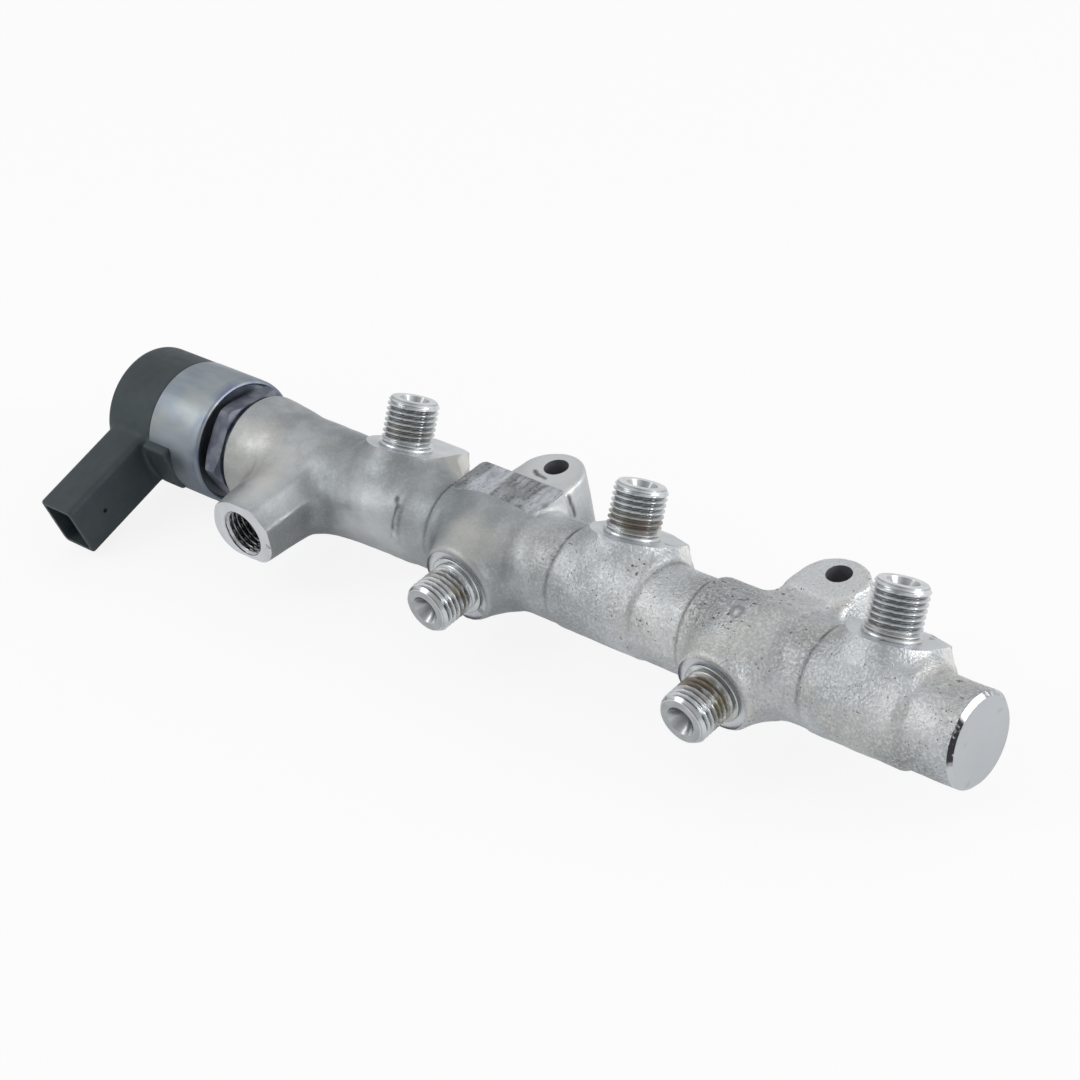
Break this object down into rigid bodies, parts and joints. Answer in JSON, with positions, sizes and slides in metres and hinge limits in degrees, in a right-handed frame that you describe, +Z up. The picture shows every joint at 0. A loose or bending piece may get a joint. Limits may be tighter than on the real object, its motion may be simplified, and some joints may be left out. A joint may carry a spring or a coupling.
{
  "type": "fuel rail",
  "caption": "Forged high-pressure fuel rail with upright and front threaded pipe fittings, mounting ears, a return port and an electric pressure control valve.",
  "frame": {"origin": "centre of the two mounting holes, on the seat faces of the ears", "axes": "+X along the rail towards its closed end, +Z up along the mounting bolts, so that the front fittings point to -Y"},
  "size_m": [0.2898, 0.0773, 0.0478],
  "materials": {
    "forged_steel": "blasted forging with machined fittings and faces",
    "nut_steel": "dark matt plating",
    "hard_steel": "ground",
    "seal_rubber": "smooth",
    "seal_plastic": "smooth",
    "soft_iron": "plain",
    "magnet_iron": "turned",
    "brass_disc": "plain",
    "sleeve_steel": "drawn",
    "spring_steel": "drawn wire",
    "bobbin_plastic": "moulded",
    "copper_wire": "enamelled winding",
    "can_steel": "drawn and plated, reflective",
    "cap_plastic": "moulded, dark grey-green",
    "terminal_brass": "tin plated"
  },
  "bodies": {
    "rail": {"rail_body": "forged_steel", "union_nut": "nut_steel", "valve_body": "hard_steel", "body_o_ring": "seal_rubber", "backup_ring": "seal_plastic", "nose_washer": "soft_iron", "seat_insert": "hard_steel", "gap_disc": "brass_disc", "armature_sleeve": "sleeve_steel", "armature_spring": "spring_steel", "spring_shim": "spring_steel", "coil_bobbin": "bobbin_plastic", "coil_winding": "copper_wire", "back_iron": "magnet_iron", "can_seal_ring": "seal_rubber", "solenoid_can": "can_steel", "connector_cap": "cap_plastic", "terminal_left": "terminal_brass", "terminal_right": "terminal_brass"},
    "valve_armature": {"armature": "magnet_iron", "armature_pin": "hard_steel", "valve_ball": "hard_steel"}
  },
  "joints": [
    {"name": "armature_lift", "type": "slide", "parent": "rail", "child": "valve_armature", "axis": [-1, 0, 0], "range_m": [0, 0.0004], "stiffness_N_per_m": 3200, "deforming": ["armature_spring"]}
  ]
}
